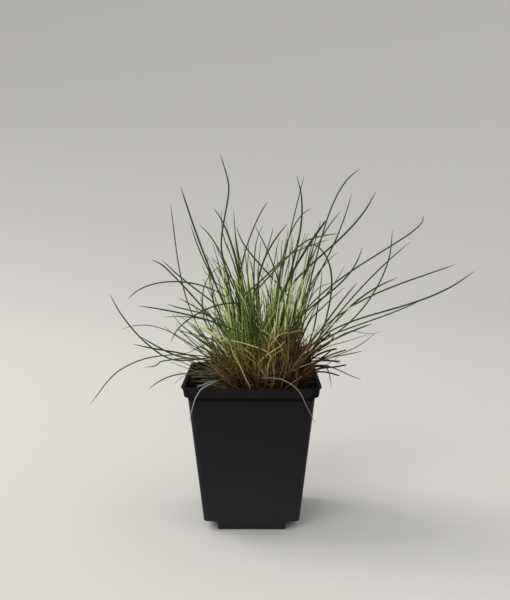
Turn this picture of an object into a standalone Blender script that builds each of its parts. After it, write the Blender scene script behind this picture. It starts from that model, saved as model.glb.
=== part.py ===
"""A clump of blue fescue grass in a square nursery pot.

The frame is in metres with +Z up. The origin is the middle of the pot's foot, on the surface that it
stands on, and the front of the pot faces -Y. Sizes below are in millimetres and degrees, and MM turns them
into metres.
"""

import math

import bmesh
import bpy
import numpy as np
from mathutils import Vector

MM = 0.001
GAP = 0.3

# Pot: a square tapered pot of thin plastic, 9 x 9 x 9.8 cm, which stands on a foot under each side
POT_HEIGHT = 98.0
RIM_HALF = 45.0
RIM_LIP = 0.9
RIM_THICK = 0.8
COLLAR_TOP_HALF = 44.1
COLLAR_LOW_HALF = 43.5
COLLAR_HEIGHT = 7.0
COLLAR_ROUND = 1.4
WALL_TOP_HALF = 41.0
WALL_LOW_HALF = 31.0
WALL_THICK = 1.0
RIM_OPENING_HALF = 42.8
INSIDE_LEDGE = 1.2
LEDGE_SLOPE = 0.5
FLOOR_THICK = 1.2
FLOOR_ROUND = 0.8
EDGE_ROUND = 1.5
RIM_CORNER = 7.5
WALL_TOP_CORNER = 6.0
WALL_LOW_CORNER = 3.0
CORNER_STEPS = 5
NOTCH_HEIGHT = 6.1
FRONT_FOOT_HALF = 21.8
SIDE_FOOT_HALF = 14.0
FOOT_DRAFT = 0.6
HAUNCH_OUT = 2.6
HAUNCH_DROP = 1.2
DRAIN_RADIUS = 3.0
DRAIN_OFFSET = 14.0
CORNER_DRAIN_RADIUS = 1.9
CORNER_DRAIN_OFFSET = 27.6
DRAIN_SIDES = 12
CUT_PAST = 2.0

# Soil: peat that fills the pot to a finger's breadth under the rim and rises a little to the plant
SOIL_EDGE = 85.6
SOIL_MOUND = 88.2
SOIL_MOUND_RADIUS = 26.5
SOIL_LUMP = 0.35
SOIL_SLOPE = ((0.35, 0.35), (0.7, 0.8), (1.0, 1.0))

# Crown: the tussock of leaf bases, with the short leaves gathered into locks
CROWN_X = 8.0
CROWN_Y = -3.0
CROWN_MIDDLE = 101.0
CROWN_RADIUS = 29.0
CROWN_RISE = 24.0
CROWN_TOP_LIFT = 78.0
CROWN_SIDES = 20
CROWN_RINGS = 8
GROWING_POINT = 78.0
LOCK_SOURCE = 86.0
LOCK_COUNT = 48
LOCK_LOWEST = 0.48
LOCK_HIGHEST = 0.97
LOCK_SHORT = 64.0
LOCK_EXTRA = 46.0
LOCK_SINK = 5.0
LOCK_RADIUS = 2.6
LOCK_TIP_RADIUS = 0.35
LOCK_DROOP = 7.0
LOCK_STEPS = 5
LOCK_SIDES = 4
LOCK_CLEAR = 0.5
GOLDEN_ANGLE = 137.508

# Long leaves: round needles that taper to a point
LEAF_RADIUS = 0.6
LEAF_TIP_RADIUS = 0.22
LEAF_SIDES = 4
LEAF_STEPS = 9
LEAF_START = 0.6
LEAF_STIFFNESS = 0.38
DEAD_LEAF_RADIUS = 0.55
ROUTE_STEPS = 2

# Each long leaf, in order round the clump from the right: the heading of its tip from the crown, how far out
# the tip is, the tip's height, the angle at which the leaf rises from the crown, the angle at its tip
# (negative where it hangs), and how far its heading is turned at the root and at the tip.
LONG_LEAVES = (
    (-2, 74, 222, 85, 60, 0, 35),
    (6, 133, 173, 55, 20, -20, -5),
    (10, 112, 206, 70, 15, -5, 75),
    (14, 97, 163, 50, 20, -25, -5),
    (19, 121, 145, 30, 25, 45, -10),
    (25, 79, 109, 35, 10, -5, 0),
    (26, 61, 101, 40, -20, 0, 0),
    (29, 78, 239, 65, 20, -10, 20),
    (51, 93, 209, 60, 35, 0, -5),
    (57, 54, 235, 75, 60, 5, 5),
    (82, 92, 138, 45, -10, 5, 10),
    (84, 70, 197, 30, 10, 25, 5),
    (86, 47, 216, 45, 20, 35, -15),
    (105, 79, 197, 50, 45, -70, 0),
    (110, 96, 122, 35, -30, -5, 10),
    (137, 48, 211, 75, 25, 0, -20),
    (138, 93, 215, 40, 80, 15, 0),
    (141, 93, 140, 60, 10, 5, -5),
    (144, 65, 201, 65, 70, 0, 0),
    (149, 86, 174, 45, 45, -45, 15),
    (155, 110, 145, 80, -40, 5, -15),
    (158, 77, 134, 55, -10, -30, -15),
    (163, 62, 149, 60, 25, -5, 5),
    (182, 88, 120, 35, 15, -20, -5),
    (191, 96, 132, 40, -25, 25, -10),
    (192, 78, 92, 30, -40, 0, 10),
    (193, 75, 178, 35, -10, 70, 85),
    (197, 68, 135, 45, 45, 5, -20),
    (198, 85, 149, 50, 10, 75, 0),
    (209, 60, 225, 65, 70, 10, 10),
    (229, 60, 201, 70, 20, 10, 20),
    (239, 103, 136, 90, -20, 5, 30),
    (252, 59, 211, 70, 45, 0, 20),
    (260, 33, 200, 45, 35, 35, -15),
    (283, 60, 202, 80, 40, -40, 30),
    (293, 68, 211, 75, 15, 0, 0),
    (301, 70, 204, 80, 5, 0, -35),
    (304, 95, 169, 40, 35, -5, -10),
    (315, 60, 99, 35, -80, 40, -5),
    (321, 27, 232, 80, 50, 10, -80),
    (321, 87, 136, 40, 45, 0, 15),
    (327, 80, 140, 45, 20, -15, -20),
    (332, 70, 187, 70, 75, 0, 0),
    (340, 97, 190, 50, 40, -10, -5),
    (343, 59, 221, 70, 75, 5, -15),
    (353, 66, 97, 40, -15, 0, 0),
    (356, 139, 170, 45, 40, 35, 5),
)

# The leaves that bend twice, arch over or run low before they turn, as the places that each one passes.
BENT_LEAVES = (
    ((-11, -6, 132), (-15, -4, 160), (-20.5, -1, 185), (-18.5, 1, 204), (-15.5, 4, 226), (-21.5, 8, 247.5)),
    ((36, 5, 117), (49, 10, 119.5), (64, 16, 128), (79, 22, 142), (91, 27, 160), (98, 31, 178),
     (100, 34, 196)),
    ((-1, -26, 134), (1, -30, 154), (11, -33, 168), (24, -37, 182), (36, -41, 192), (54, -47, 196)),
    ((36, -23, 114), (46, -27, 133), (51, -32, 160), (48.5, -36, 178), (40, -40, 188.5), (31, -44, 187)),
    ((-20, 6, 107.5), (-46, 9, 110), (-74, 11, 107), (-95, 10, 97), (-108, 13, 82), (-115, 15, 73)),
    ((-18, 8, 110), (-45, 12, 105.5), (-61, 16, 107), (-80, 23, 120), (-95, 29, 137), (-103, 34, 150)),
    ((-21.5, 1.5, 106), (-32.5, 1, 107.9), (-42.7, 0, 109.2), (-52.8, 2, 111), (-64.4, 9, 114.9),
     (-79, 20, 120.7)),
    ((-21.3, -4.5, 107.5), (-41.7, -8, 110.7), (-55.6, -11, 110), (-61.2, -12, 109.1), (-63.6, -12.5, 106.9),
     (-66.3, -13, 106.1), (-71.6, -14, 105.7)),
)

# The dead leaves that hang over the front of the rim, as the places that each one passes from root to tip.
DEAD_LEAVES = (
    ((-8, -30.5, 106.5), (-14.4, -34, 103.9), (-22.1, -39, 101.8), (-30.3, -46, 99.1), (-33.2, -47.8, 96),
     (-35.9, -47.6, 90.4), (-39, -46.6, 78)),
    ((6.8, -33, 102.7), (15.1, -38, 103.6), (20, -42, 103.4), (26.2, -46.5, 100.8), (30.8, -48.2, 96.2),
     (34.7, -47.8, 88), (40, -46.2, 77)),
)


def clear_scene():
    for thing in list(bpy.data.objects):
        bpy.data.objects.remove(thing, do_unlink=True)


def material(name, colour, roughness):
    made = bpy.data.materials.new(name)
    made.use_nodes = True
    shader = made.node_tree.nodes["Principled BSDF"]
    shader.inputs["Base Color"].default_value = (*colour, 1.0)
    shader.inputs["Roughness"].default_value = roughness
    shader.inputs["Metallic"].default_value = 0.0
    made.diffuse_color = (*colour, 1.0)
    return made


def add_object(name, mesh_builder, finish=None, smooth_angle=None):
    """Puts a bmesh given in millimetres into the scene as a named object in metres."""
    bmesh.ops.scale(mesh_builder, vec=(MM, MM, MM), verts=mesh_builder.verts)
    bmesh.ops.recalc_face_normals(mesh_builder, faces=mesh_builder.faces)
    mesh = bpy.data.meshes.new(name)
    mesh_builder.to_mesh(mesh)
    mesh_builder.free()
    if smooth_angle is not None:
        mesh.shade_smooth()
        mesh.set_sharp_from_angle(angle=math.radians(smooth_angle))
    thing = bpy.data.objects.new(name, mesh)
    bpy.context.scene.collection.objects.link(thing)
    if finish is not None:
        thing.data.materials.append(finish)
    return thing


def add_cutter(name, mesh_builder):
    cutter = add_object(name, mesh_builder)
    cutter.hide_render = True
    cutter.display_type = "WIRE"
    return cutter


def boolean(thing, other, operation):
    step = thing.modifiers.new(f"{operation.lower()} {other.name}", "BOOLEAN")
    step.operation = operation
    step.solver = "EXACT"
    step.object = other


def loft(mesh_builder, rings):
    """Joins closed rings of points, each as long as the next, into one closed body."""
    rows = [[mesh_builder.verts.new(point) for point in ring] for ring in rings]
    for low, high in zip(rows, rows[1:]):
        count = len(low)
        for i in range(count):
            j = (i + 1) % count
            mesh_builder.faces.new((low[i], low[j], high[j], high[i]))
    mesh_builder.faces.new(tuple(reversed(rows[0])))
    mesh_builder.faces.new(tuple(rows[-1]))


def rounded_square(half, corner, height):
    """A ring of points round a square with round corners, at one height."""
    points = []
    for quarter in range(4):
        start = math.radians(90 * quarter)
        centre_turn = start + math.radians(45)
        inset = (half - corner) * math.sqrt(2)
        centre = (inset * math.cos(centre_turn), inset * math.sin(centre_turn))
        for step in range(CORNER_STEPS + 1):
            turn = start + math.radians(90) * step / CORNER_STEPS
            points.append((centre[0] + corner * math.cos(turn), centre[1] + corner * math.sin(turn), height))
    return points


def wall_half(height):
    """Half the pot's outer width under the collar."""
    return WALL_LOW_HALF + (WALL_TOP_HALF - WALL_LOW_HALF) * height / (POT_HEIGHT - COLLAR_HEIGHT)


def wall_corner(height):
    return WALL_LOW_CORNER + (WALL_TOP_CORNER - WALL_LOW_CORNER) * height / (POT_HEIGHT - COLLAR_HEIGHT)


def pot_outside():
    """Rings up the outside of the pot: rounded foot, tapered wall, collar and the thin lip round the top."""
    collar_low = POT_HEIGHT - COLLAR_HEIGHT
    rings = []
    for step in range(3):
        turn = math.radians(45 * step)
        inset = EDGE_ROUND * (1 - math.sin(turn))
        height = EDGE_ROUND * (1 - math.cos(turn))
        rings.append((wall_half(height) - inset, WALL_LOW_CORNER - 0.6 * inset, height))
    rings.append((wall_half(collar_low / 2), wall_corner(collar_low / 2), collar_low / 2))
    rings.append((WALL_TOP_HALF, WALL_TOP_CORNER, collar_low))
    for step in range(3):
        turn = math.radians(45 * step)
        inset = COLLAR_ROUND * (1 - math.sin(turn))
        height = collar_low + COLLAR_ROUND * (1 - math.cos(turn))
        rings.append((COLLAR_LOW_HALF - inset, RIM_CORNER - 0.5 * inset, height))
    lip_low = POT_HEIGHT - RIM_THICK
    rings.append((COLLAR_TOP_HALF, RIM_CORNER, lip_low))
    rings.append((RIM_HALF, RIM_CORNER + 0.5 * RIM_LIP, lip_low))
    rings.append((RIM_HALF, RIM_CORNER + 0.5 * RIM_LIP, POT_HEIGHT))
    return [rounded_square(*ring) for ring in rings]


def inside_half(height):
    return wall_half(height) - WALL_THICK


def pot_inside(gap, top):
    """Rings up the inside of the wall from the floor, drawn in by a gap, then the given rings."""
    low = FLOOR_THICK + gap
    corner = WALL_LOW_CORNER - WALL_THICK
    rings = [
        (inside_half(low) - gap - FLOOR_ROUND, corner, low),
        (inside_half(low + FLOOR_ROUND) - gap, corner + 0.5 * FLOOR_ROUND, low + FLOOR_ROUND),
    ]
    return [rounded_square(*ring) for ring in rings + top]


def hollow_top():
    """Half widths, corners and heights of the hollow inside the collar, which steps out over a ledge."""
    ledge = POT_HEIGHT - COLLAR_HEIGHT + INSIDE_LEDGE
    corner = RIM_CORNER - (RIM_HALF - RIM_OPENING_HALF - RIM_THICK)
    return [
        (inside_half(ledge), WALL_TOP_CORNER - WALL_THICK, ledge),
        (RIM_OPENING_HALF - 0.8 * LEDGE_SLOPE, corner - 0.4 * LEDGE_SLOPE, ledge + LEDGE_SLOPE),
        (RIM_OPENING_HALF, corner, POT_HEIGHT + CUT_PAST),
    ]


def corner_blocks(name, grow):
    """Four blocks that raise the pot's corners and leave a foot under each side, the front one wider."""
    mesh_builder = bmesh.new()
    far = WALL_LOW_HALF + 4 * CUT_PAST
    profile = (
        (-CUT_PAST, 0.0),
        (NOTCH_HEIGHT - HAUNCH_DROP + grow, FOOT_DRAFT),
        (NOTCH_HEIGHT + grow, FOOT_DRAFT + HAUNCH_OUT),
    )
    for side_x in (-1, 1):
        for side_y in (-1, 1):
            rings = []
            for height, out in profile:
                near_x = FRONT_FOOT_HALF + out - grow
                near_y = SIDE_FOOT_HALF + out - grow
                ring = [(near_x, near_y), (far, near_y), (far, far), (near_x, far)]
                if side_x * side_y < 0:
                    ring.reverse()
                rings.append([(side_x * x, side_y * y, height) for x, y in ring])
            loft(mesh_builder, rings)
    return add_cutter(name, mesh_builder)


def drain_holes():
    """Four round holes about the middle of the floor and a smaller one in each raised corner."""
    mesh_builder = bmesh.new()
    places = [(side_x * DRAIN_OFFSET, side_y * DRAIN_OFFSET, DRAIN_RADIUS)
              for side_x, side_y in ((1, 0), (0, 1), (-1, 0), (0, -1))]
    places += [(side_x * CORNER_DRAIN_OFFSET, side_y * CORNER_DRAIN_OFFSET, CORNER_DRAIN_RADIUS)
               for side_x in (-1, 1) for side_y in (-1, 1)]
    for x, y, radius in places:
        rings = []
        turns = [2 * math.pi * i / DRAIN_SIDES for i in range(DRAIN_SIDES)]
        for height in (-CUT_PAST, NOTCH_HEIGHT + WALL_THICK + CUT_PAST):
            rings.append([(x + radius * math.cos(turn), y + radius * math.sin(turn), height)
                          for turn in turns])
        loft(mesh_builder, rings)
    return add_cutter("drain_holes", mesh_builder)


def build_pot():
    """One thin moulding: a solid of its outside, less the hollow, the raised corners and the drains."""
    black_plastic = material("black_plastic", (0.017, 0.016, 0.018), 0.55)
    mesh_builder = bmesh.new()
    loft(mesh_builder, pot_outside())
    pot = add_object("pot", mesh_builder, black_plastic, smooth_angle=35)

    mesh_builder = bmesh.new()
    loft(mesh_builder, pot_inside(0.0, hollow_top()))
    hollow = add_cutter("hollow", mesh_builder)
    boolean(hollow, corner_blocks("raised_corners", WALL_THICK), "DIFFERENCE")

    boolean(pot, hollow, "DIFFERENCE")
    boolean(pot, corner_blocks("notches", 0.0), "DIFFERENCE")
    boolean(pot, drain_holes(), "DIFFERENCE")
    return pot


def build_soil():
    """Fills the pot to its edge line, then rises in a mound that ends round, under the crown."""
    peat = material("peat", (0.030, 0.020, 0.013), 0.95)
    rings = pot_inside(GAP, [(inside_half(SOIL_EDGE) - GAP, WALL_TOP_CORNER - WALL_THICK, SOIL_EDGE)])
    edge = rings[-1]
    for share, lift in SOIL_SLOPE:
        ring = []
        for x, y, _ in edge:
            turn = math.atan2(y - CROWN_Y, x - CROWN_X)
            round_x = CROWN_X + SOIL_MOUND_RADIUS * math.cos(turn)
            round_y = CROWN_Y + SOIL_MOUND_RADIUS * math.sin(turn)
            lump = SOIL_LUMP * math.sin(5 * turn + 9 * share) * (1 - share)
            ring.append((x + (round_x - x) * share, y + (round_y - y) * share,
                         SOIL_EDGE + (SOIL_MOUND - SOIL_EDGE) * lift + lump))
        rings.append(ring)
    mesh_builder = bmesh.new()
    loft(mesh_builder, rings)
    soil = add_object("soil", mesh_builder, peat, smooth_angle=50)
    boolean(soil, corner_blocks("raised_corners_clear", WALL_THICK + GAP), "DIFFERENCE")
    return soil


def heading_vector(heading, rise):
    """The unit vector towards a compass heading from +X and an angle above level, both in degrees."""
    turn = math.radians(heading)
    lift = math.radians(rise)
    return np.array([math.cos(turn) * math.cos(lift), math.sin(turn) * math.cos(lift), math.sin(lift)])


def crown_surface(heading, rise, source, stand_off):
    """Where a line from the source, a height on the crown's axis, leaves the crown, stand_off outside it."""
    start = np.array([CROWN_X, CROWN_Y, source])
    middle = np.array([CROWN_X, CROWN_Y, CROWN_MIDDLE])
    radii = np.array([CROWN_RADIUS, CROWN_RADIUS, CROWN_RISE]) + stand_off
    away = heading_vector(heading, rise)
    from_middle = (start - middle) / radii
    step = away / radii
    a = step @ step
    b = 2 * from_middle @ step
    c = from_middle @ from_middle - 1
    return start + away * (-b + math.sqrt(b * b - 4 * a * c)) / (2 * a)


def bezier(points, count):
    share = np.linspace(0.0, 1.0, count)[:, None]
    rest = 1 - share
    p0, p1, p2, p3 = points
    return rest ** 3 * p0 + 3 * rest ** 2 * share * p1 + 3 * rest * share ** 2 * p2 + share ** 3 * p3


def smooth_route(points, count):
    """A smooth curve through every given point, count steps between each pair."""
    route = [np.array(point, float) for point in points]
    ends = [2 * route[0] - route[1]] + route + [2 * route[-1] - route[-2]]
    curve = []
    for before, start, end, after in zip(ends, ends[1:], ends[2:], ends[3:]):
        for step in range(count):
            t = step / count
            curve.append(0.5 * (2 * start + (end - before) * t
                                + (2 * before - 5 * start + 4 * end - after) * t ** 2
                                + (3 * start - before - 3 * end + after) * t ** 3))
    curve.append(route[-1])
    return np.array(curve)


def tube(mesh_builder, centre_line, radii, sides):
    """A closed rod of the given radius at each point, with its sides carried along without a twist."""
    centres = [Vector(point) for point in centre_line]
    across = None
    rings = []
    for i, centre in enumerate(centres):
        along = (centres[min(i + 1, len(centres) - 1)] - centres[max(i - 1, 0)]).normalized()
        if across is None:
            across = along.orthogonal().normalized()
        across = (across - along * across.dot(along)).normalized()
        other = along.cross(across)
        ring = []
        for side in range(sides):
            turn = 2 * math.pi * side / sides
            ring.append(centre + (across * math.cos(turn) + other * math.sin(turn)) * radii[i])
        rings.append(ring)
    loft(mesh_builder, rings)


def leaf_line(heading, reach, height, rise, tip_rise, turn_root, turn_tip):
    """The centre line of one long leaf, from the crown's surface to its tip."""
    out = heading_vector(heading, 0) * reach
    tip = np.array([CROWN_X + out[0], CROWN_Y + out[1], height])
    root = crown_surface(heading + turn_root, rise, GROWING_POINT, LEAF_START)
    hold = LEAF_STIFFNESS * np.linalg.norm(tip - root)
    leave = root + hold * heading_vector(heading + turn_root, rise)
    arrive = tip - hold * heading_vector(heading + turn_tip, tip_rise)
    return bezier((root, leave, arrive, tip), LEAF_STEPS + 1)


def leaf_radii(count):
    share = np.linspace(0.0, 1.0, count)
    return LEAF_RADIUS + (LEAF_TIP_RADIUS - LEAF_RADIUS) * share ** 3


def lock_line(heading, rise):
    """The centre line of one lock: straight out of the crown, bending down a little as it goes."""
    source = np.array([CROWN_X, CROWN_Y, LOCK_SOURCE])
    away = heading_vector(heading, rise)
    begin = np.linalg.norm(crown_surface(heading, rise, LOCK_SOURCE, 0.0) - source) - LOCK_SINK
    end = LOCK_SHORT + LOCK_EXTRA * away[2]
    share = np.linspace(0.0, 1.0, LOCK_STEPS + 1)
    line = source + away * (begin + (end - begin) * share)[:, None]
    line[:, 2] -= LOCK_DROOP * math.cos(math.radians(rise)) * share ** 2
    return line


def lock_radii(count):
    share = np.linspace(0.0, 1.0, count)
    return LOCK_TIP_RADIUS + (LOCK_RADIUS - LOCK_TIP_RADIUS) * (1 - share) ** 0.9


def along_line(line, radii, count):
    """Points and radii spread evenly along a bent line."""
    steps = np.linspace(0, len(line) - 1, count)
    index = np.arange(len(line))
    points = np.stack([np.interp(steps, index, line[:, axis]) for axis in range(3)], axis=1)
    return points, np.interp(steps, index, radii)


def room_between(first, second):
    """The smallest gap between two rods, each given as points and radii."""
    apart = np.linalg.norm(first[0][:, None] - second[0][None], axis=2)
    return (apart - first[1][:, None] - second[1][None]).min()


def place_locks(leaves):
    """Spreads the locks evenly over the crown and turns each a little, to where it is clear of the rest."""
    taken = [along_line(line, leaf_radii(len(line)), 60) for line in leaves]
    turns = [(0.0, 0.0)]
    for reach in range(1, 8):
        for side in range(8):
            turn = math.radians(45 * side)
            turns.append((2.5 * reach * math.cos(turn), 2.0 * reach * math.sin(turn)))
    locks = []
    for number in range(LOCK_COUNT):
        lift = LOCK_LOWEST + (LOCK_HIGHEST - LOCK_LOWEST) * (number + 0.5) / LOCK_COUNT
        rise = math.degrees(math.asin(lift))
        for turn, tilt in turns:
            heading = GOLDEN_ANGLE * number + turn / math.cos(math.radians(rise))
            line = lock_line(heading, min(rise + tilt, 88.0))
            points, radii = along_line(line, lock_radii(len(line)), 40)
            outside = np.linalg.norm(points - points[0], axis=1) > LOCK_SINK - LEAF_START
            rod = (points[outside], radii[outside])
            if all(room_between(rod, other) > LOCK_CLEAR for other in taken):
                locks.append(line)
                taken.append(rod)
                break
    return locks


def build_crown(leaves):
    """A dome of leaf bases over the soil, with the locks fused to it."""
    straw_green = material("straw_green", (0.20, 0.19, 0.07), 0.7)
    low = math.asin((SOIL_MOUND + GAP - CROWN_MIDDLE) / CROWN_RISE)
    high = math.radians(CROWN_TOP_LIFT)
    rings = []
    for number in range(CROWN_RINGS):
        lift = low + (high - low) * number / (CROWN_RINGS - 1)
        radius = CROWN_RADIUS * math.cos(lift)
        height = CROWN_MIDDLE + CROWN_RISE * math.sin(lift)
        rings.append([(CROWN_X + radius * math.cos(2 * math.pi * side / CROWN_SIDES),
                       CROWN_Y + radius * math.sin(2 * math.pi * side / CROWN_SIDES), height)
                      for side in range(CROWN_SIDES)])
    mesh_builder = bmesh.new()
    loft(mesh_builder, rings)
    crown = add_object("crown", mesh_builder, straw_green, smooth_angle=40)

    mesh_builder = bmesh.new()
    for line in place_locks(leaves):
        tube(mesh_builder, line, lock_radii(len(line)), LOCK_SIDES)
    boolean(crown, add_cutter("locks", mesh_builder), "UNION")
    return crown


def build_leaves():
    """Makes every long leaf and returns the centre lines, which the locks keep clear of."""
    blue_green = material("blue_green_leaf", (0.09, 0.15, 0.10), 0.5)
    straw = material("straw_leaf", (0.42, 0.34, 0.20), 0.75)
    lines = [leaf_line(*leaf) for leaf in LONG_LEAVES]
    lines += [smooth_route(places, ROUTE_STEPS) for places in BENT_LEAVES]
    for number, line in enumerate(lines, start=1):
        mesh_builder = bmesh.new()
        tube(mesh_builder, line, leaf_radii(len(line)), LEAF_SIDES)
        add_object(f"leaf_{number:02d}", mesh_builder, blue_green, smooth_angle=100)
    for number, places in enumerate(DEAD_LEAVES, start=1):
        line = smooth_route(places, ROUTE_STEPS)
        radii = leaf_radii(len(line)) * (DEAD_LEAF_RADIUS / LEAF_RADIUS)
        mesh_builder = bmesh.new()
        tube(mesh_builder, line, radii, LEAF_SIDES)
        add_object(f"dead_leaf_{number:02d}", mesh_builder, straw, smooth_angle=100)
        lines.append(line)
    return lines


clear_scene()
build_pot()
build_soil()
build_crown(build_leaves())
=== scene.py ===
import math

import bmesh
import bpy
import numpy as np
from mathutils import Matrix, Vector
from mathutils.bvhtree import BVHTree


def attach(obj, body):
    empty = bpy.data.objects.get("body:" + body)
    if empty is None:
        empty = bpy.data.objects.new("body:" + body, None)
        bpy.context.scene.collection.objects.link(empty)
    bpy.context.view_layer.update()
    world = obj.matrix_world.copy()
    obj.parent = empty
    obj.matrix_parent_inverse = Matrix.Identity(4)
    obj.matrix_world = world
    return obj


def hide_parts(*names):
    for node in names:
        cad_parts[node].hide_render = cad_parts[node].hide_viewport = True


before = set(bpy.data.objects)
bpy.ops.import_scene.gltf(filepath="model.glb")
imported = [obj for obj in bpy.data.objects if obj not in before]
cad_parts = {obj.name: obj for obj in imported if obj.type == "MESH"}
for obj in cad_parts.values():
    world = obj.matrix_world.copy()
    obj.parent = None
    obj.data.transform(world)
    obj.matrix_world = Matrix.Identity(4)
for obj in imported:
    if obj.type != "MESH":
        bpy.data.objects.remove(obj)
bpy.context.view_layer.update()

# Pot. A square tapered nursery pot, moulded from thin black plastic, with a collar and a thin lip at the top
# and four raised corners at the foot. The plastic is satin, with faint marks down the walls, fine scuffs and
# a little dried peat round the collar.
MM = 0.001


class Reading:
    """A socket of a finish that can be reckoned with like a number: each sum on it adds a Math node."""

    def __init__(self, finish, socket):
        self.finish = finish
        self.socket = socket

    def reckon(self, operation, first, second):
        return self.finish.node("ShaderNodeMath", {"operation": operation}, {0: first, 1: second})

    def __add__(self, other):
        return self.reckon("ADD", self, other)

    def __radd__(self, other):
        return self.reckon("ADD", other, self)

    def __sub__(self, other):
        return self.reckon("SUBTRACT", self, other)

    def __rsub__(self, other):
        return self.reckon("SUBTRACT", other, self)

    def __mul__(self, other):
        return self.reckon("MULTIPLY", self, other)

    def __rmul__(self, other):
        return self.reckon("MULTIPLY", other, self)


class Finish:
    """A material on one Principled shader, with the few ways in which its colours and values are made."""

    def __init__(self, name, **constants):
        self.material = bpy.data.materials.new(name)
        self.material.use_nodes = True
        self.tree = self.material.node_tree
        self.shader = self.tree.nodes["Principled BSDF"]
        for words, value in constants.items():
            self.shader.inputs[words.replace("_", " ")].default_value = value

    def put(self, socket, value):
        if isinstance(value, Reading):
            self.tree.links.new(value.socket, socket)
        else:
            socket.default_value = value

    def node(self, kind, settings=None, inputs=None, output=0):
        made = self.tree.nodes.new(kind)
        for key, value in (settings or {}).items():
            if key == "stops":
                ramp = made.color_ramp
                while len(ramp.elements) < len(value):
                    ramp.elements.new(0.5)
                for element, (place, colour) in zip(ramp.elements, value):
                    element.position = place
                    element.color = (*colour, 1.0)
            else:
                setattr(made, key, value)
        for key, value in (inputs or {}).items():
            self.put(made.inputs[key], value)
        return Reading(self, made.outputs[output])

    def feed(self, name, value):
        self.put(self.shader.inputs[name], value)

    def place(self):
        """Where the point is on the object, in millimetres."""
        metres = self.node("ShaderNodeTexCoord", output="Object")
        return self.node("ShaderNodeVectorMath", {"operation": "SCALE"}, {0: metres, "Scale": 1000.0})

    def stretched(self, place, across, up):
        return self.node("ShaderNodeVectorMath", {"operation": "MULTIPLY"},
                         {0: place, 1: (across, across, up)})

    def noise(self, place, scale, detail=3.0, roughness=0.55):
        return self.node("ShaderNodeTexNoise", None,
                         {"Vector": place, "Scale": scale, "Detail": detail, "Roughness": roughness})

    def part(self, place, axis):
        """The place along one axis: 0 is X, 1 is Y and 2 is the height."""
        return self.node("ShaderNodeSeparateXYZ", None, {0: place}, output=axis)

    def off_axis(self, place):
        """How far the point is from the middle, along X or along Y, whichever is more."""
        away = self.node("ShaderNodeVectorMath", {"operation": "ABSOLUTE"}, {0: place})
        x, y = self.part(away, 0), self.part(away, 1)
        return x.reckon("MAXIMUM", x, y)

    def step(self, value, low, high):
        """0 under low, 1 over high and smooth between them."""
        return self.node("ShaderNodeMapRange", {"interpolation_type": "SMOOTHSTEP"},
                         {"Value": value, "From Min": low, "From Max": high})

    def mix(self, share, first, second):
        """The first colour where the share is 0 and the second where it is 1."""
        colours = [value if isinstance(value, Reading) else (*value, 1.0) for value in (first, second)]
        return self.node("ShaderNodeMix", {"data_type": "RGBA"},
                         {0: share, 6: colours[0], 7: colours[1]}, output=2)

    def ramp(self, value, colours):
        """The colours in turn, at even steps, as the value goes from 0 to 1."""
        stops = [(number / (len(colours) - 1), colour) for number, colour in enumerate(colours)]
        return self.node("ShaderNodeValToRGB", {"stops": stops}, {0: value})

    def mark(self, name):
        """A value that is kept on the points of the mesh."""
        return self.node("ShaderNodeAttribute", {"attribute_name": name}, output="Fac")

    def bump(self, height, distance, strength):
        return self.node("ShaderNodeBump", None,
                         {"Height": height, "Distance": distance, "Strength": strength})


PLASTIC = (0.0055, 0.0048, 0.0084)
CLOUDED_PLASTIC = (0.0080, 0.0072, 0.0116)
LOWER_PLASTIC = (0.0150, 0.0160, 0.0205)
SHADED_UPPER_PLASTIC = (0.0045, 0.0031, 0.0062)
DRIED_PEAT = (0.0300, 0.0240, 0.0180)
SCUFFED_PLASTIC = (0.0340, 0.0340, 0.0370)
SHADED_PLASTIC = (0.0022, 0.0016, 0.0014)

# Where a change of the plastic sets in and is complete, as heights and as distances from the middle
LOWER_HEIGHTS = (0.0, 52.0)
UPPER_SHADE_HEIGHTS = (40.0, 95.0)
COLLAR_HEIGHTS = (86.0, 95.0)
LEDGE_HEIGHTS = (88.6, 89.4)
RIM_HEIGHTS = (97.2, 97.8)
INNER_EDGE = (43.1, 43.5)

EDGE_ROUND = 0.22
pot_finish = Finish("pot_plastic", Specular_IOR_Level=0.17)
at = pot_finish.place()
height = pot_finish.part(at, 2)
draw_marks = pot_finish.noise(pot_finish.stretched(at, 1.0, 0.06), 0.55, 4.0)
scuffs = pot_finish.step(pot_finish.noise(pot_finish.stretched(at, 0.7, 1.6), 0.9, 8.0, 0.7), 0.60, 0.72)
splashes = pot_finish.step(pot_finish.noise(at, 0.35, 6.0, 0.65), 0.52, 0.66)
splashes = splashes * pot_finish.step(height, *COLLAR_HEIGHTS)
off_axis = pot_finish.off_axis(at)
inside = pot_finish.step(height, *LEDGE_HEIGHTS) * (1 - pot_finish.step(off_axis, *INNER_EDGE))
rim_top = pot_finish.step(height, *RIM_HEIGHTS) * 0.7
shaded = 1 - (1 - inside) * (1 - rim_top)
plastic = pot_finish.mix(pot_finish.noise(at, 0.05), PLASTIC, CLOUDED_PLASTIC)
plastic = pot_finish.mix(1 - pot_finish.step(height, *LOWER_HEIGHTS), plastic, LOWER_PLASTIC)
# Painted shade: the outer wall darkens from 40 mm up to the collar, as in the shade under the collar.
plastic = pot_finish.mix(pot_finish.step(height, *UPPER_SHADE_HEIGHTS), plastic, SHADED_UPPER_PLASTIC)
plastic = pot_finish.mix(splashes * 0.20, plastic, DRIED_PEAT)
plastic = pot_finish.mix(scuffs * 0.12, plastic, SCUFFED_PLASTIC)
plastic = pot_finish.mix(shaded * 0.85, plastic, SHADED_PLASTIC)
pot_finish.feed("Base Color", plastic)
pot_finish.feed("Roughness", 0.40 + 0.14 * draw_marks + 0.16 * scuffs + 0.15 * splashes + 0.40 * shaded)
grain = pot_finish.noise(at, 3.0, 2.0)
pot_finish.feed("Normal", pot_finish.bump(draw_marks * 0.5 + grain * 0.08, 0.25 * MM, 0.5))
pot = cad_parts["pot"]
pot.data.materials.clear()
pot.data.materials.append(pot_finish.material)
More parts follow.
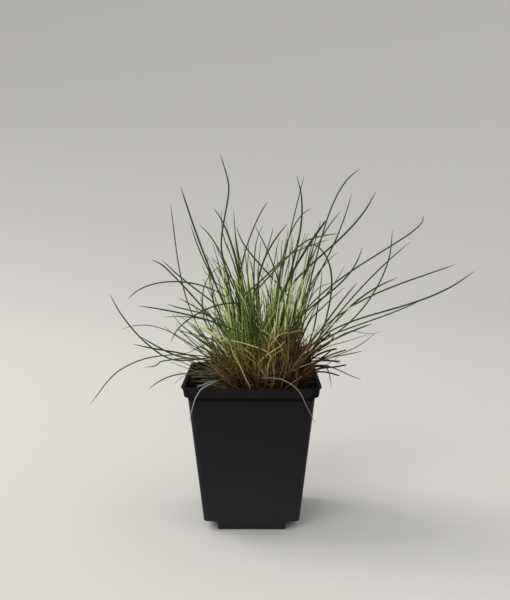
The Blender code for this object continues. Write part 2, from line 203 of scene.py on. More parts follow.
lip_round = pot.modifiers.new("soft edges", "BEVEL")
lip_round.width = EDGE_ROUND * MM
lip_round.segments = 2
lip_round.limit_method = "ANGLE"
lip_round.angle_limit = math.radians(40)

# Soil. Moist peat that fills the pot to just under the collar. It is crumbly and almost black, with a few
# lighter fibres. It was poured in loose round the roots and settled there.
PEAT = (0.0048, 0.0036, 0.0030)
DRIER_PEAT = (0.0190, 0.0125, 0.0090)
FIBRE = (0.0700, 0.0430, 0.0240)
peat_finish = Finish("peat", Specular_IOR_Level=0.18)
at = peat_finish.place()
clods = peat_finish.noise(at, 0.5, 8.0, 0.7)
grains = peat_finish.noise(at, 2.6, 4.0)
fibres = peat_finish.step(grains, 0.62, 0.70) * 0.35
peat_finish.feed("Base Color", peat_finish.mix(fibres, peat_finish.mix(clods, PEAT, DRIER_PEAT), FIBRE))
peat_finish.feed("Roughness", 0.80 + 0.18 * clods)
peat_finish.feed("Normal", peat_finish.bump(clods + 0.4 * grains, 1.2 * MM, 0.9))
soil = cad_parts["soil"]
soil.data.materials.clear()
soil.data.materials.append(peat_finish.material)


def surface_of(node):
    """The tree that tells where a ray meets a piece of the frame."""
    shape = bmesh.new()
    shape.from_mesh(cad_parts[node].data)
    tree = BVHTree.FromBMesh(shape)
    shape.free()
    return tree


def make_piece(name, points, faces, finish, smooth=True, marks=None, around=None):
    """A mesh piece of the object that rides with it."""
    mesh = bpy.data.meshes.new(name)
    mesh.from_pydata(points, [], faces)
    for mark, values in (marks or {}).items():
        mesh.attributes.new(mark, "FLOAT", "POINT").data.foreach_set("value", np.asarray(values, np.float32))
    if around is not None:
        mesh.uv_layers.new(name="blade").uv.foreach_set("vector", np.asarray(around, np.float32).ravel())
    mesh.polygons.foreach_set("use_smooth", [smooth] * len(mesh.polygons))
    mesh.update()
    mesh.materials.append(finish.material)
    piece = bpy.data.objects.new(name, mesh)
    bpy.context.scene.collection.objects.link(piece)
    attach(piece, "root")
    return piece


CRUMBS = 900
CRUMB_SIZES = (0.35, 1.9)
CRUMB_LUMPS = 0.28
CRUMB_FORMS = (0.65, 1.15)
CRUMB_STANDS = 0.25
INSIDE_HALF = 38.6
CAST_FROM = 200.0
soil_surface = surface_of("soil")
chance = np.random.default_rng(21)
lump = bmesh.new()
bmesh.ops.create_icosphere(lump, subdivisions=1, radius=1.0)
lump_points = np.array([v.co[:] for v in lump.verts])
lump_faces = [[v.index for v in face.verts] for face in lump.faces]
lump.free()
crumb_points = []
crumb_faces = []
for number in range(CRUMBS):
    x, y = chance.uniform(-INSIDE_HALF, INSIDE_HALF, 2)
    size = CRUMB_SIZES[0] + (CRUMB_SIZES[1] - CRUMB_SIZES[0]) * chance.random() ** 3
    x, y = np.clip((x, y), -INSIDE_HALF + size, INSIDE_HALF - size)
    ground = soil_surface.ray_cast(Vector((x * MM, y * MM, CAST_FROM * MM)), Vector((0, 0, -1)))[0]
    lumps = chance.standard_normal((len(lump_points), 1)).clip(-1.2, 1.2)
    shape = lump_points * (1 + CRUMB_LUMPS * lumps) * size * chance.uniform(*CRUMB_FORMS, 3)
    crumb_points.append(shape * MM + [x * MM, y * MM, ground.z + CRUMB_STANDS * size * MM])
    crumb_faces += [[corner + number * len(lump_points) for corner in face] for face in lump_faces]
make_piece("soil_crumbs", np.concatenate(crumb_points), crumb_faces, peat_finish, smooth=False)

# Tussock. Blue fescue grows as a tight bundle of tillers, each a thin stem wrapped in the sheaths of its
# leaves. The sheaths turn from straw to olive and red-brown as they die, and stay on the plant. Here they fan
# out of the soil in one bundle, low and shaggy on the left, shorter and browner on the right.
CENTRE = np.array([8.0, -3.0])
FEET_SHIFT = np.array([3.5, -0.5])
FOOT_RADIUS = 22.05
SOIL_TOP = 88.2
FOOT_HEIGHT = SOIL_TOP - 1.2
HOLD = 0.36
GOLDEN_ANGLE = 137.508
BLADE_OUTLINE = np.array([(1.0, 0.2), (0.5, 0.75), (0.0, 0.2), (-0.5, 0.75), (-1.0, 0.2), (0.0, -0.95)])

# The reach of the tussock, from a point at this height: the steeper a leaf rises, the farther it reaches
REACH_FROM = 86.0
REACH_LOW = 64.0
REACH_EXTRA = 46.0
SAG = 7.0

# What the blades keep clear of, as heights and as distances from the middle of the pot
CLEARANCE = 0.9
SOIL_LEVEL = SOIL_TOP - 1.6
WALL_INSIDE = 41.4
LIP_FROM, LIP_MIDDLE, LIP_TO = 40.2, 43.6, 47.0
LIP_HEIGHT = 97.0
EASED_WITHIN = 7.0
EASING = 0.72
PAST_POT = 60.0


def unit(vectors):
    return vectors / np.linalg.norm(vectors, axis=-1, keepdims=True)


def heading_of(turn, rise):
    """Unit vectors towards a compass heading from +X and an angle above level, both in degrees."""
    turn, rise = np.radians(turn), np.radians(rise)
    return np.stack([np.cos(turn) * np.cos(rise), np.sin(turn) * np.cos(rise), np.sin(rise)], axis=-1)


def arcs(starts, leave, arrive, tips, hold, steps):
    """Smooth arcs from starts to tips that leave and arrive in the given directions."""
    share = np.linspace(0.0, 1.0, steps)[None, :, None]
    length = np.linalg.norm(tips - starts, axis=1)[:, None] * hold
    corners = starts, starts + leave * length, tips - arrive * length, tips
    first, second, third, last = (points[:, None] for points in corners)
    rest = 1 - share
    return (rest ** 3 * first + 3 * rest ** 2 * share * second
            + 3 * rest * share ** 2 * third + share ** 3 * last)


def clear_of_pot(lines):
    """Lifts what would cut through the rim, the wall or the soil, and eases the blades up to it."""
    out = np.abs(lines[..., :2]).max(axis=-1)
    floor = np.where(out < WALL_INSIDE, SOIL_LEVEL + CLEARANCE, 0.0)
    lip = np.where((out > LIP_FROM) & (out < LIP_TO), LIP_HEIGHT + CLEARANCE, 0.0)
    lift = np.clip(np.maximum(floor, lip) - lines[..., 2], 0, None)
    eased = lift.copy()
    for _ in range(3):
        eased[:, 1:-1] = np.maximum(eased[:, 1:-1], EASING * np.maximum(eased[:, :-2], eased[:, 2:]))
    eased[:, 0] = 0
    near = np.abs(out - LIP_MIDDLE) < EASED_WITHIN
    lines[..., 2] += np.where(out < PAST_POT, np.maximum(lift, eased * near), eased)
    return lines


def blades(name, lines, radii, finish, tone, age):
    """One mesh of many closed blades, each swept along its line with its folded side up."""
    count, steps, _ = lines.shape
    sides = len(BLADE_OUTLINE)
    wide, high = BLADE_OUTLINE[None, :, :1], BLADE_OUTLINE[None, :, 1:]
    along = unit(np.gradient(lines, axis=1))
    level = np.cross(along[:, 0], [0.0, 0.0, 1.0])
    level[np.linalg.norm(level, axis=1) < 1e-3] = (1.0, 0.0, 0.0)
    across = unit(level)
    points = np.zeros((count, steps, sides, 3))
    for step in range(steps):
        across = unit(across - along[:, step] * (across * along[:, step]).sum(axis=1, keepdims=True))
        above = np.cross(across, along[:, step])
        section = wide * across[:, None] + high * above[:, None]
        points[:, step] = lines[:, step, None] + section * radii[:, step, None, None]
    index = np.arange(count * steps * sides).reshape(count, steps, sides)
    below, beyond = index[:, :-1], index[:, 1:]
    quads = np.stack([below, beyond, np.roll(beyond, -1, axis=2), np.roll(below, -1, axis=2)], axis=-1)
    faces = quads.reshape(-1, 4).tolist() + index[:, 0].tolist() + index[:, -1, ::-1].tolist()

    gone = np.linalg.norm(np.diff(lines, axis=1), axis=2).cumsum(axis=1)
    travelled = np.concatenate([np.zeros((count, 1)), gone], axis=1)
    turn = np.arange(sides) / sides
    quad_turn = np.stack([turn, turn, turn + 1 / sides, turn + 1 / sides], axis=-1)
    quad_turn = np.broadcast_to(quad_turn, (count, steps - 1, sides, 4))
    down, up = travelled[:, :-1, None], travelled[:, 1:, None]
    quad_length = np.stack(np.broadcast_arrays(down, up, up, down), axis=-1)
    quad_length = np.broadcast_to(quad_length, (count, steps - 1, sides, 4))
    corners = np.stack([quad_turn, quad_length / 10], axis=-1).reshape(-1, 2)
    caps = np.zeros((2 * count * sides, 2))
    share = travelled / travelled[:, -1:]
    marks = {
        "along": np.repeat(share.ravel(), sides),
        "from_foot": np.repeat(travelled.ravel(), sides),
        "tone": np.repeat(tone, steps * sides),
        "age": np.repeat(age, steps * sides),
    }
    return make_piece(name, points.reshape(-1, 3) * MM, faces, finish, marks=marks,
                      around=np.concatenate([corners, caps]))


def blade_radii(girth, steps, taper=0.22, tip=0.4):
    """Even for most of the length, then tapering to a narrow end."""
    share = np.linspace(0.0, 1.0, steps)
    form = np.clip((1 - share) / taper, 0, 1) ** 0.75 * (1 - tip) + tip
    return girth[:, None] * form[None, :]


def tillers(count, seed, lifts):
    """The heading and the rise of each tiller, spread evenly over the bundle."""
    draw = np.random.default_rng(seed)
    lift = lifts[0] + (lifts[1] - lifts[0]) * (np.arange(count) + draw.random(count)) / count
    turn = GOLDEN_ANGLE * np.arange(count) + draw.normal(0, 14, count)
    return turn, np.degrees(np.arcsin(lift))


def wandering(lines, draw, amount):
    """Lets each line bend a little from side to side between its foot and its tip."""
    count, steps, _ = lines.shape
    share = np.linspace(0.0, 1.0, steps)[None, :, None]
    sway = draw.normal(0, amount, (count, 1, 3)) * [1, 1, 0.4] * np.sin(math.pi * share)
    return lines + sway + draw.normal(0, 0.5 * amount, (count, 1, 3)) * np.sin(2 * math.pi * share)


def grow(count, seed, lifts, shares, girths, arch, straightness, steps, spread, wander):
    """Blades that leave the soil in tillers and arch out to a share of the reach of the tussock."""
    draw = np.random.default_rng(seed)
    bunches = count // 4
    turn, rise = tillers(bunches, seed + 1, lifts)
    pick = np.arange(count) % bunches
    lowest = np.degrees(np.arcsin(lifts[0])) - 3
    tip_rise = np.clip(rise[pick] + draw.normal(0, spread * 0.6, count), lowest, 89)
    tip_turn = turn[pick] + draw.normal(0, spread, count) / np.maximum(np.cos(np.radians(tip_rise)), 0.25)
    out = np.cos(np.radians(rise[pick])) ** 0.8
    foot_radius = FOOT_RADIUS * out * draw.uniform(0.55, 1.08, count)
    foot_turn = turn[pick] + draw.normal(0, 7, count)
    flat = heading_of(foot_turn, np.zeros(count))[:, :2] * foot_radius[:, None]
    starts = np.column_stack([CENTRE + FEET_SHIFT + flat, np.full(count, FOOT_HEIGHT)])
    share = shares[0] + (shares[1] - shares[0]) * draw.beta(1.7, 1.5, count)
    reach = (REACH_LOW + REACH_EXTRA * np.sin(np.radians(tip_rise))) * share
    tips = np.array([*CENTRE, REACH_FROM]) + heading_of(tip_turn, tip_rise) * reach[:, None]
    tips[:, 2] -= SAG * np.cos(np.radians(tip_rise)) * share ** 2
    leave_rise = tip_rise + (90 - tip_rise) * draw.uniform(*straightness, count)
    leave = heading_of(tip_turn + draw.normal(0, 12, count), leave_rise)
    end_rise = tip_rise - draw.uniform(*arch, count)
    arrive = heading_of(tip_turn + draw.normal(0, 16, count), end_rise)
    lines = clear_of_pot(wandering(arcs(starts, leave, arrive, tips, HOLD, steps), draw, wander))
    girth = draw.uniform(*girths, count)
    return lines, girth, draw.random(count), draw.random(count)


SHADED_FOOT = (0.012, 0.006, 0.004)
DRY_TIP = (0.36, 0.26, 0.12)
BETWEEN_RIBS = (0.012, 0.022, 0.004)
RIB_HEIGHT = 0.06


def leaf_finish(name, shades, sheath, sheath_end, roughness, tips=0.1, shaded_upper=None):
    """Grass: the leaf's own colours, the sheath that it comes out of, long fine ribs and a dry tip, with
    painted shade at the foot.

    The sheath gives way to the leaf between the two distances of sheath_end from the foot. The last argument
    is a painted shade for the top of the leaf, darker where it stands against the light: the colour that it
    ends with takes over between its two distances.
    """
    finish = Finish(name, Specular_IOR_Level=0.08)
    tone, age = finish.mark("tone"), finish.mark("age")
    travelled, along = finish.mark("from_foot"), finish.mark("along")
    patches = finish.noise(finish.place(), 0.12)
    colour = finish.ramp(tone * 0.85 + patches * 0.30 - 0.08, shades)
    # Painted shade: higher up, the leaf turns to the darker colour given last, as where it stands against the
    # light.
    if shaded_upper:
        colour = finish.mix(finish.step(travelled + patches * 20.0, *shaded_upper[:2]) * 0.8, colour, shaded_upper[2])
    husk = finish.ramp(age * 0.8 + patches * 0.4 - 0.1, sheath)
    # Painted shade: the sheath darkens over its first 16 mm out of the soil, as in the shade at the foot of
    # the tussock.
    husk = finish.mix(finish.step(travelled, 1.0, 16.0), SHADED_FOOT, husk)
    green = finish.step(travelled + patches * 16.0 - age * 14.0, *sheath_end)
    colour = finish.mix(green, husk, colour)
    dry = finish.step(along + age * 0.12, 0.97, 1.08) * tips
    colour = finish.mix(dry, colour, DRY_TIP)
    around = finish.node("ShaderNodeUVMap", {"uv_map": "blade"})
    ribs = finish.node("ShaderNodeTexWave", {"wave_type": "BANDS", "bands_direction": "X"},
                       {"Vector": around, "Scale": 4.0, "Distortion": 0.6, "Detail": 1.0})
    finish.feed("Base Color", finish.mix(ribs * 0.18, colour, BETWEEN_RIBS))
    finish.feed("Roughness", roughness + 0.18 * ribs)
    finish.feed("Normal", finish.bump(ribs, RIB_HEIGHT * MM, 0.5))
    return finish


def grass(name, finish, grown, taper):
    """The mesh of one group of blades."""
    lines, girth, tone, age = grown
    return blades(name, lines, blade_radii(girth, lines.shape[1], taper), finish, tone, age)


SHEATHS = [(0.016, 0.007, 0.004), (0.106, 0.049, 0.020), (0.270, 0.157, 0.058), (0.720, 0.560, 0.250)]
STRAWS = [(0.080, 0.040, 0.012), (0.200, 0.130, 0.032), (0.170, 0.150, 0.030)]
sheath_finish = leaf_finish("leaf_sheath", STRAWS, SHEATHS, (24.0, 60.0), 0.62, tips=0.4)
lines, girth, tone, age = grow(
    count=860, seed=31, lifts=(0.48, 0.985), shares=(0.24, 0.50), girths=(0.25, 0.50), arch=(-6, 14),
    straightness=(0.15, 0.5), steps=9, spread=14.0, wander=1.4)
browner = np.interp(lines[:, -1, 0], (-10.0, 30.0), (1.0, 0.5))
sheaths = grass("leaf_sheaths", sheath_finish, (lines, girth, tone * browner, age * browner), taper=0.45)
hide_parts("crown")

# Old sheaths. Dead leaves round the foot of the tussock: olive and half green on the left, orange-brown in
# front and red-brown on the right, where a tuft of them stands up short and stiff.
UPRIGHT = np.array([0.0, 0.0, 1.0])
RISING = (0.2, 0.9)
DROOPING = (0.0, 0.4)
FAN_STEPS = 12


def fan(name, finish, count, seed, feet, tips, girths, taper=0.22, dome=8.0, wander=1.7, cross=0.24):
    """Blades that leave one patch of the soil side by side and open out like a fan to one patch of tips.

    The feet are two spans, along X and along Y, and the tips have a third one, of heights. The dome is how
    much lower the outer tips are, and cross is how far the feet are shuffled.
    """
    draw = np.random.default_rng(seed)
    aside = (np.arange(count) + draw.random(count)) / count
    depth = draw.random(count)
    foot_aside = np.clip(aside + draw.normal(0, cross, count), 0, 1)
    foot_depth = np.clip(depth + draw.normal(0, cross, count), 0, 1)
    starts = np.column_stack([np.interp(foot_aside, (0, 1), feet[0]), np.interp(foot_depth, (0, 1), feet[1]),
                              np.full(count, FOOT_HEIGHT)])
    ends = np.column_stack([np.interp(aside, (0, 1), tips[0]), np.interp(depth, (0, 1), tips[1]),
                            draw.uniform(*tips[2], count) - dome * (2 * aside - 1) ** 2])
    straight = unit(ends - starts)
    leave = unit(straight + UPRIGHT * draw.uniform(*RISING, (count, 1)))
    arrive = unit(straight - UPRIGHT * draw.uniform(*DROOPING, (count, 1)) + draw.normal(0, 0.16, (count, 3)))
    lines = clear_of_pot(wandering(arcs(starts, leave, arrive, ends, HOLD, FAN_STEPS), draw, wander))
    girth = draw.uniform(*girths, count)
    return grass(name, finish, (lines, girth, draw.random(count), draw.random(count)), taper)


OLIVES = [(0.040, 0.036, 0.010), (0.110, 0.098, 0.024), (0.240, 0.220, 0.070)]
olive_finish = leaf_finish("olive_sheath", OLIVES, SHEATHS[1:], (12.0, 34.0), 0.6)
fan("olive_sheaths", olive_finish, 80, seed=33, feet=((-12, 6), (-16, 6)),
    tips=((-32, -8), (-30, 4), (108, 130)), girths=(0.24, 0.42), taper=0.4)
BROWNS = [(0.046, 0.020, 0.011), (0.130, 0.063, 0.028), (0.240, 0.140, 0.060)]
brown_finish = leaf_finish("brown_sheath", BROWNS, SHEATHS[:3], (16.0, 30.0), 0.65)
fan("brown_sheaths", brown_finish, 110, seed=35, feet=((16, 27), (-16, 8)),
    tips=((26, 46), (-24, 8), (98, 122)), girths=(0.24, 0.44), taper=0.4)
fan("brown_tuft", brown_finish, 116, seed=37, feet=((14, 26), (-20, -4)),
    tips=((17, 37), (-28, -12), (116, 141)), girths=(0.28, 0.46), taper=0.4, dome=7.0)
ORANGES = [(0.060, 0.026, 0.012), (0.190, 0.100, 0.036), (0.400, 0.280, 0.115)]
orange_finish = leaf_finish("orange_sheath", ORANGES, SHEATHS[:3], (14.0, 30.0), 0.62)
fan("front_sheaths", orange_finish, 120, seed=38, feet=((-10, 26), (-22, -12)),
    tips=((-20, 32), (-33, -18), (104, 126)), girths=(0.24, 0.42), taper=0.4, cross=0.3)
GOLDS = [(0.120, 0.080, 0.016), (0.230, 0.170, 0.036), (0.330, 0.290, 0.090)]
gold_finish = leaf_finish("gold_sheath", GOLDS, SHEATHS[1:], (14.0, 30.0), 0.6)
fan("gold_tuft", gold_finish, 46, seed=39, feet=((8, 22), (-22, -12)),
    tips=((6, 27), (-31, -20), (114, 137)), girths=(0.24, 0.40), taper=0.4, dome=3.0)

# Straw stems. Bleached dead leaves that have bent over and lie across the front of the tussock. Each follows
# a few places chosen along it, from its foot in the soil to its tip.
ROUTE_STEPS = 18


def smooth_line(points, steps):
    """An even, smooth line through the points."""
    gaps = np.linalg.norm(np.diff(points, axis=0), axis=1)[:, None]
    slopes = np.diff(points, axis=0) / gaps
    inner = (slopes[:-1] * gaps[1:] + slopes[1:] * gaps[:-1]) / (gaps[:-1] + gaps[1:])
    slopes = np.concatenate([slopes[:1], inner, slopes[-1:]])
    t = np.linspace(0, 1, 12, endpoint=False)[:, None]
    fine = []
    for i, gap in enumerate(gaps):
        fine.append((1 + 2 * t) * (1 - t) ** 2 * points[i] + t * (1 - t) ** 2 * gap * slopes[i]
                    + t ** 2 * (3 - 2 * t) * points[i + 1] + t ** 2 * (t - 1) * gap * slopes[i + 1])
    fine = np.concatenate(fine + [points[-1:]])
    travelled = np.concatenate([[0], np.linalg.norm(np.diff(fine, axis=0), axis=1).cumsum()])
    even = np.linspace(0, travelled[-1], steps)
    return np.stack([np.interp(even, travelled, fine[:, axis]) for axis in range(3)], axis=1)


def routes(name, finish, places, girth, taper, tip, seed):
    """Blades that each pass a few given places, from root to tip."""
    draw = np.random.default_rng(seed)
    lines = np.stack([smooth_line(np.array(place, float), ROUTE_STEPS) for place in places])
    radii = blade_radii(girth * draw.uniform(0.85, 1.15, len(places)), ROUTE_STEPS, taper, tip)
    return blades(name, lines, radii, finish, draw.random(len(places)), draw.random(len(places)))


STRAW_STEMS = [
    [(12, -12, 95), (8.1, -34, 121.1), (1.3, -33.7, 123.4), (-5.4, -33.3, 125.5), (-14.4, -33, 127.4),
     (-18.8, -32.7, 129.3), (-26.5, -32.3, 133.1), (-32.9, -32, 138.3)],
    [(6, -22, 88), (9.7, -27, 100.7), (8.8, -27.3, 103.1), (5.8, -27.6, 108.1), (3.3, -27.9, 113.4),
     (0.3, -28.1, 116.8), (-3.6, -28.4, 120.4), (-9.6, -28.7, 123.8), (-14.5, -29, 126.7)],
    [(0, -22, 88), (-1, -32, 96.5), (-4.5, -32.3, 103.6), (-6.5, -32.7, 108.7), (-8.6, -33, 112.8),
     (-11.4, -33.3, 117.9), (-13.3, -33.7, 123.9), (-14.3, -34, 129.5)],
    [(6, -6, 94), (3.6, -20, 106), (5.8, -29, 113.2), (10.2, -30, 117.3), (14.7, -30, 120.3),
     (19, -30, 123.3), (21.6, -30, 126.3)],
    [(8, -20, 88), (10.7, -29, 111), (13.3, -29, 115.6), (17.1, -29, 118.9), (21, -29, 120.9)],
    [(10, -14, 95), (15.8, -31, 128.4), (19, -31, 131.1), (25, -31, 131.9), (30.3, -31, 133.2),
     (34.7, -31, 133.4)],
    [(13, -14, 95), (18.5, -27, 123.2), (13.7, -28.3, 128.5), (10.1, -29.7, 131.2), (6.3, -31, 133.9)],
    [(10, -24, 88), (14.3, -28, 98.9), (14.3, -29, 107.1), (13.6, -30, 112.5)],
    [(7, -23, 88), (10.1, -28, 102.9), (10.7, -29, 108.4), (12.6, -30, 117.1)],
    [(4, -18, 88), (6.8, -27, 105.3), (1.6, -28, 112.1), (-2.3, -29, 115.6), (-7.4, -30, 118.7)],
    [(14, -20, 88), (22, -22, 100.3), (25.4, -22, 104), (30.9, -22, 107.1), (36.4, -22, 109.2),
     (39.6, -22, 110.3)],
    [(16, -20, 88), (25.8, -24, 96.7), (29.4, -24.5, 99.5), (32.8, -25, 102.3)],
    [(9, -15, 92), (14, -26, 118.4), (13, -26, 122.3), (13.9, -26, 128.2), (15.9, -26, 132.8)],
    [(9, -15, 92), (13.3, -25, 118.2), (14.3, -24.7, 122.7), (16.2, -24.3, 127.3), (18.8, -24, 133.2)],
]
straw_finish = leaf_finish("bleached_leaf", [(0.40, 0.33, 0.12), (0.66, 0.58, 0.27)],
                           [(0.24, 0.16, 0.06), (0.44, 0.35, 0.15)], (10.0, 24.0), 0.6)
routes("straw_stems", straw_finish, STRAW_STEMS, girth=0.42, taper=0.3, tip=0.35, seed=71)

# Cut stubs. Old brown leaves on the right of the tussock that end short and blunt over the rim. They are
# stiff and dark, and lean out low.
CUT_STUBS = [
    [(24, -4, 90), (35.4, -13.6, 108.9), (47, -16, 110.8), (58.7, -16, 110.3)],
    [(24, -6, 89), (36.4, -15.6, 103.5), (47, -18, 106.1), (57.8, -18, 107.4), (62.7, -18, 108.4)],
    [(24, -8, 89), (33.5, -17.6, 103), (42.1, -20, 104), (48, -20, 104), (57.8, -20, 101.6)],
    [(24, 0, 90), (34.5, -9.6, 104.9), (43.1, -12, 113.3), (50, -12, 116.5), (56.8, -12, 118.1)],
    [(24, 2, 90), (36.4, -7.6, 109.6), (44.1, -10, 116.9), (51.9, -10, 121.6), (54.9, -10, 126)],
    [(22, -2, 90), (32.5, -11.6, 103.5), (41.2, -14, 115.5), (49, -14, 120.9), (53.9, -14, 124)],
    [(25, 4, 90), (32.5, -5.6, 104.9), (40.2, -8, 115.2), (47, -8, 122.6), (52.9, -8, 127.9)],
    [(25, -3, 90), (35.4, -12.6, 106.4), (44.1, -15, 109.8), (51.9, -15, 114.2), (62.7, -15, 117.8)],
    [(24, 7, 89), (33.5, -0.6, 105.9), (41.2, -1, 113.2), (48, 1, 115.2)],
    [(23, -12, 89), (33, -15, 102), (42, -18, 107), (51, -20, 108)],
    [(25, -8, 90), (33.5, -14, 105), (41, -15, 116), (46, -16, 121.5)],
    [(25, -9, 90), (35, -15, 103), (44, -16, 110), (52, -17, 117.5)],
    [(24, -7, 90), (34, -14, 102.5), (42.5, -15, 104.5), (50, -16, 106.5)],
]
stub_finish = leaf_finish("old_brown_leaf", [(0.028, 0.012, 0.007), (0.070, 0.036, 0.018)],
                          [(0.018, 0.008, 0.005), (0.060, 0.030, 0.014)], (10.0, 30.0), 0.7, tips=0.0)
routes("cut_stubs", stub_finish, CUT_STUBS, girth=0.62, taper=0.06, tip=0.8, seed=73)

# Green leaves of the tussock. Fine folded needles, fresh green below and dark where they stand out against
# the light. They form a low heart and two taller tufts beside it, too many and too fine for a node each.
GREENS = [(0.020, 0.034, 0.003), (0.090, 0.144, 0.018), (0.228, 0.332, 0.066), (0.660, 0.770, 0.350)]
SHADED = (82.0, 112.0, (0.037, 0.069, 0.013))
green_finish = leaf_finish("green_leaf", GREENS, SHEATHS[1:], (27.0, 42.0), 0.5, shaded_upper=SHADED)
thin_finish = leaf_finish("thin_leaf", [(0.027, 0.049, 0.006), (0.061, 0.103, 0.015), (0.148, 0.226, 0.050)],
                          SHEATHS[1:], (28.0, 44.0), 0.45, shaded_upper=SHADED)
short_leaves = fan("short_green_leaves", green_finish, 96, seed=41, feet=((-6, 24), (-12, 12)),
                   tips=((-22, 29), (-18, 28), (118, 148)), girths=(0.28, 0.42), cross=0.5)
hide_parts("crown")
fan("front_green_leaves", green_finish, 40, seed=42, feet=((-4, 8), (-20, -12)),
    tips=((-16, 9), (-33, -22), (122, 146)), girths=(0.28, 0.40))
fan("left_green_leaves", thin_finish, 27, seed=43, feet=((-8, 6), (-12, 10)),
    tips=((-35, -3), (-26, 30), (144, 192)), girths=(0.32, 0.46), dome=14.0)
fan("middle_green_leaves", green_finish, 23, seed=45, feet=((-2, 12), (-10, 10)),
    tips=((-12, 16), (-26, 30), (150, 192)), girths=(0.34, 0.46))
fan("right_green_leaves", green_finish, 26, seed=47, feet=((8, 24), (-10, 10)),
    tips=((16, 46), (-28, 30), (144, 198)), girths=(0.36, 0.50))
fan("crossing_green_leaves", green_finish, 34, seed=55, feet=((21, -5), (-17, -4)),
    tips=((-19, 28), (-27, -6), (122, 152)), girths=(0.26, 0.38), wander=2.6)
fan("crossing_thin_leaves", thin_finish, 26, seed=56, feet=((20, -4), (-17, -2)),
    tips=((-22, 30), (-28, -4), (128, 162)), girths=(0.24, 0.34), wander=2.6)
fan("leaning_left_leaves", thin_finish, 14, seed=69, feet=((2, 16), (-20, -8)),
    tips=((-34, -14), (-31, -12), (122, 150)), girths=(0.26, 0.36))
fan("leaning_right_leaves", thin_finish, 8, seed=70, feet=((2, 14), (-20, -10)),
    tips=((22, 36), (-31, -14), (126, 150)), girths=(0.24, 0.34))
fan("left_side_leaves", thin_finish, 26, seed=50, feet=((-10, 2), (-16, 10)),
    tips=((-56, -26), (-30, 24), (112, 150)), girths=(0.26, 0.40))
fan("right_side_leaves", thin_finish, 5, seed=51, feet=((18, 27), (-14, 10)),
    tips=((42, 60), (-26, 24), (114, 146)), girths=(0.30, 0.40))

